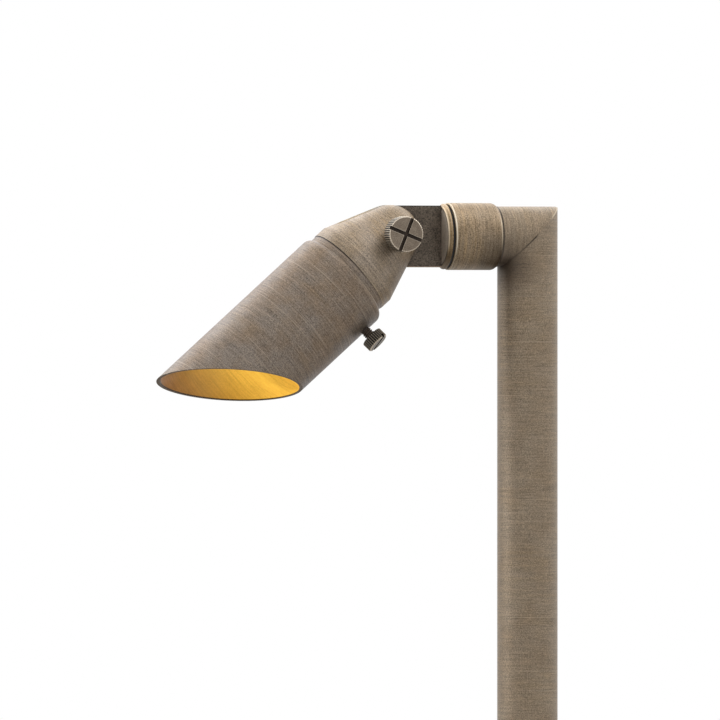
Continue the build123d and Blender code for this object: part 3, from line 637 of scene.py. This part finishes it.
# painted shade in the knobs' slots
slotShadeBrown = darkCast("slotShadeBrown", {**plateLook, "dark": (46, 37, 29), "light": (62, 50, 40)})
slotShadeBlack = darkCast("slotShadeBlack", {**plateLook, "dark": (18, 15, 12), "light": (30, 24, 19)})
clampBronze = knurledKnob("bronzeClampKnob", "shroud_thumbscrew", clampLine, clampLook)
dress("tilt_thumbscrew", knurledKnob("bronzeTiltKnob", "tilt_thumbscrew", tiltLine, tiltLook), slotShadeBrown)
markSlots("tilt_thumbscrew", tiltLine, tiltLook)
dress("shroud_thumbscrew", clampBronze, slotShadeBlack)
markSlots("shroud_thumbscrew", clampLine, clampLook)


def helixRidge(name, point, axis, look):              # a thread's ridge wound on a bare shank
    start, end = look["stretch"]
    halfBase = look["base"] / 2
    halfFlat = look["flat"] / 2
    side = axis.orthogonal().normalized()
    other = axis.cross(side)
    turns = (end - start - look["base"]) / look["pitch"]
    steps = int(turns * look["steps"])
    shape = bmesh.new()
    rings = []
    for step in range(steps + 1):
        turned = turns * step / steps
        ray = side * cos(2 * pi * turned) + other * sin(2 * pi * turned)
        along = start + halfBase + look["pitch"] * turned
        grown = min(1.0, turned / look["taper"], (turns - turned) / look["taper"])
        crest = look["root"] + (look["crest"] - look["root"]) * max(grown, look["least"])
        section = [(look["root"], -halfBase), (crest, -halfFlat), (crest, halfFlat), (look["root"], halfBase)]
        rings.append([shape.verts.new(point + ray * out + axis * (along + slip)) for out, slip in section])
    skinRings(shape, rings)
    shape.faces.new(rings[0])
    shape.faces.new(rings[-1])
    return makePiece(name, shape)


clampThread = {                                       # stretch: from the screw's joint along its axis
    "stretch": (-0.0055, -0.0007), "root": 0.0022, "crest": 0.00285, "base": 0.0009, "flat": 0.000225,
    "pitch": 0.0012, "steps": 48, "taper": 1 / 3, "least": 0.05,
}
ridge = helixRidge("clampThread", *clampLine, clampThread)
ridge.data.materials.append(clampBronze)
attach(ridge, "shroud_screw")
print("tongue and thumbscrews dressed")


# the gasket and the small inner parts
plainSurface = {"cloud": (3.0, 0.55), "grain": (2.0, 0.6), "share": 0.6, "mottle": (0.35, 0.65),
                "spread": 0.07}


def plainPart(name, look):
    material, tree, shader = startMaterial(name)
    place = ownPlace(tree)
    cloud = noise(tree, place, look["cloud"], *plainSurface["cloud"])
    grain = noise(tree, place, look["fine"], *plainSurface["grain"])
    mottled = weigh(tree, cloud, grain, plainSurface["share"])
    mottle = remap(tree, mottled, *plainSurface["mottle"])
    join(tree, blend(tree, mottle, tone(*look["low"]), tone(*look["high"])), shader, "Base Color")
    roughen(tree, shader, grain, look["rough"], plainSurface["spread"])
    emboss(tree, shader, grain, look["relief"])
    setSockets(shader, {"Metallic": look.get("metal", 0.0), "Transmission Weight": look.get("clear", 0.0),
                        "IOR": look.get("bend", 1.5)})
    return material


partLooks = {
    "rubberBlack": {"low": (18, 17, 16), "high": (30, 28, 27), "cloud": 200, "fine": 2600, "rough": 0.7,
                    "relief": 0.00005},
    "rubberRed": {"low": (120, 52, 38), "high": (142, 66, 48), "cloud": 200, "fine": 2600, "rough": 0.6,
                  "relief": 0.00005},
    "steelSpring": {"low": (150, 148, 144), "high": (186, 184, 180), "cloud": 260, "fine": 3000,
                    "rough": 0.32, "relief": 0.00003, "metal": 1.0},
    "leadJacket": {"low": (22, 22, 22), "high": (36, 35, 34), "cloud": 150, "fine": 1800, "rough": 0.6,
                   "relief": 0.00005},
    "wireJacket": {"low": (196, 190, 178), "high": (220, 215, 204), "cloud": 180, "fine": 2200,
                   "rough": 0.5, "relief": 0.00003},
    "ceramicWhite": {"low": (222, 217, 206), "high": (240, 236, 228), "cloud": 120, "fine": 2000,
                     "rough": 0.4, "relief": 0.00004},
    "lampMirror": {"low": (214, 206, 190), "high": (236, 230, 216), "cloud": 90, "fine": 900,
                   "rough": 0.16, "relief": 0.0001, "metal": 0.85},
    "glassClear": {"low": (236, 240, 238), "high": (250, 252, 250), "cloud": 30, "fine": 300,
                   "rough": 0.1, "relief": 0.00001, "clear": 1.0, "bend": 1.47},
}
partNodes = {
    "rubberBlack": ("swivel_gasket", "foot_grommet", "neck_seal", "wire_grommet"),
    "rubberRed": ("lens_seal",),
    "steelSpring": ("tilt_washers", "tilt_lock_washer", "socket_screws", "lamp_pins", "lens_ring"),
    "leadJacket": ("stem_lead",),
    "wireJacket": ("tongue_wires", "socket_wires"),
    "ceramicWhite": ("lamp_socket", "lamp_base"),
    "lampMirror": ("lamp_reflector",),
    "glassClear": ("lens", "lamp_front_glass", "lamp_capsule"),
}
for finishName, partLook in partLooks.items():
    finish = plainPart(finishName, partLook)
    for node in partNodes[finishName]:
        dress(node, finish)
print("inner parts dressed")


# floor and background: white for the rays that see or mirror them
def whiteRays(tree):
    ray = put(tree, "LightPath", {}).outputs
    mirrored = calc(tree, "MAXIMUM", ray["Is Glossy Ray"], ray["Is Transmission Ray"])
    return calc(tree, "MAXIMUM", ray["Is Camera Ray"], mirrored)


def paleFloor(name, look):                            # fades to the white background away from the object
    material, tree, shader = startMaterial(name)
    place = ownPlace(tree)
    spot = split(tree, place)
    far = remap(tree, lengthOf(tree, spot[0], spot[1]), *look["fade"], smooth=True)
    bare = times(tree, far, whiteRays(tree))
    colour = blend(tree, noise(tree, place, *look["cloud"]), tone(*look["low"]), tone(*look["high"]))
    join(tree, blend(tree, bare, colour, black), shader, "Base Color")
    join(tree, bare, shader, "Emission Strength")
    setSockets(shader, {"Emission Color": white, "Roughness": look["rough"],
                        "Specular IOR Level": look["sheen"]})
    return material


floorLook = {"radius": 3.0, "sides": 96, "low": (222, 221, 219), "high": (228, 227, 225),
             "cloud": (3.0, 2.0, 0.5), "fade": (0.35, 1.3), "rough": 0.85, "sheen": 0.1}
bpy.ops.mesh.primitive_circle_add(vertices=floorLook["sides"], radius=floorLook["radius"],
                                  fill_type="NGON", location=(0, 0, cadLow.z))
floor = bpy.context.object
floor.name = "floor"
floor.data.materials.append(paleFloor("floorPale", floorLook))
floor.visible_diffuse = False                         # the world lights the object's underside instead

surround = {"below": 0.10, "above": 0.76, "span": (-0.6, 0.6)}    # light from low and high in the room
world = bpy.data.worlds.new("studio")
scene.world = world
world.use_nodes = True
worldTree = world.node_tree
skyward = split(worldTree, put(worldTree, "TexCoord", {}).outputs["Generated"])[2]
graded = remap(worldTree, skyward, *surround["span"], surround["below"], surround["above"])
background = worldTree.nodes["Background"]
setSockets(background, {"Color": white})
join(worldTree, calc(worldTree, "MAXIMUM", whiteRays(worldTree), graded), background, "Strength")


def softbox(name, look):
    data = bpy.data.lights.new(name, "AREA")
    data.shape = "RECTANGLE"
    data.size, data.size_y = look["size"]
    data.energy = look["power"]
    lamp = bpy.data.objects.new(name, data)
    scene.collection.objects.link(lamp)
    place = Vector(look["place"])
    lamp.location = place
    lamp.rotation_euler = (Vector(look["aim"]) - place).to_track_quat("-Z", "Y").to_euler()
    lamp.visible_camera = False
    lamp.visible_glossy = look["mirrored"]


headward = (-0.09, 0.0, 0.40)
softboxes = {
    "topBack": {"place": (-0.25, 0.75, 1.10), "aim": headward, "size": (1.2, 0.8), "power": 8.0,
                "mirrored": True},
    "topRight": {"place": (0.35, -0.25, 1.30), "aim": headward, "size": (0.9, 0.9), "power": 11.0,
                 "mirrored": False},
    "sideLeft": {"place": (-1.25, 0.25, 0.65), "aim": headward, "size": (0.8, 1.0), "power": 4.5,
                 "mirrored": True},
    "sideRight": {"place": (0.95, 0.45, 1.15), "aim": (0, 0, 0.35), "size": (0.8, 1.0), "power": 5.0,
                  "mirrored": True},
}
for boxName, boxLook in softboxes.items():
    softbox(boxName, boxLook)

# the photo's view: level, turned 17 degrees, through a long lens
photo = {"turn": -17.0, "centre": Vector((-0.08554, 0.02616, 0.37510)), "away": 8.0, "width": 0.3848,
         "sensor": 36, "clip": 50}
optics = bpy.data.cameras.new("photoView")
camera = bpy.data.objects.new("photoView", optics)
scene.collection.objects.link(camera)
back = Vector((sin(radians(photo["turn"])), -cos(radians(photo["turn"])), 0))
camera.location = photo["centre"] + back * photo["away"]
camera.rotation_euler = (-back).to_track_quat("-Z", "Y").to_euler()
optics.sensor_width = photo["sensor"]
optics.lens = photo["sensor"] * photo["away"] / photo["width"]
optics.clip_end = photo["clip"]
scene.camera = camera
scene.view_settings.view_transform = "Standard"
print("stage, light and camera placed")
